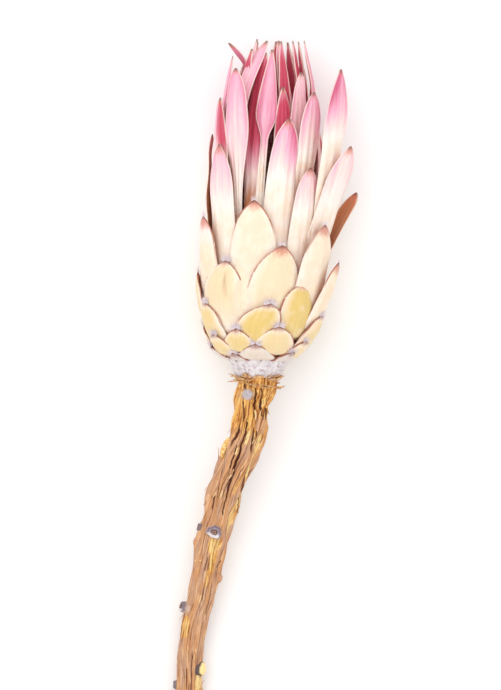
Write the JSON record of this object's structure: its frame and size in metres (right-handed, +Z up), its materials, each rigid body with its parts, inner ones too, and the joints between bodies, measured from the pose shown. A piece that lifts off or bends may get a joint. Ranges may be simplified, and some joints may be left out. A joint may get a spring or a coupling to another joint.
{
  "type": "dried protea flower head",
  "caption": "Cut, dried protea lying on its side: a closed goblet head of overlapping stiff bracts round a cone of florets, on a gnarled woody stem.",
  "frame": {"origin": "the ground under the middle of the lying flower's bounding box", "axes": "+Y from the cut stem towards the head's tip, +X to the head's right seen from above with its tip away from the viewer, +Z up"},
  "size_m": [0.0627, 0.237, 0.043],
  "materials": {
    "bracts": "dry, stiff petal-like bracts with a soft satin bloom",
    "florets": "dry and matte, with fine hairs",
    "wool": "matte wool",
    "bark": "rough, fissured bark"
  },
  "bodies": {
    "root": {"involucre": "bracts", "florets": "florets", "woolly_scales": "wool", "stem": "bark"}
  },
  "joints": []
}
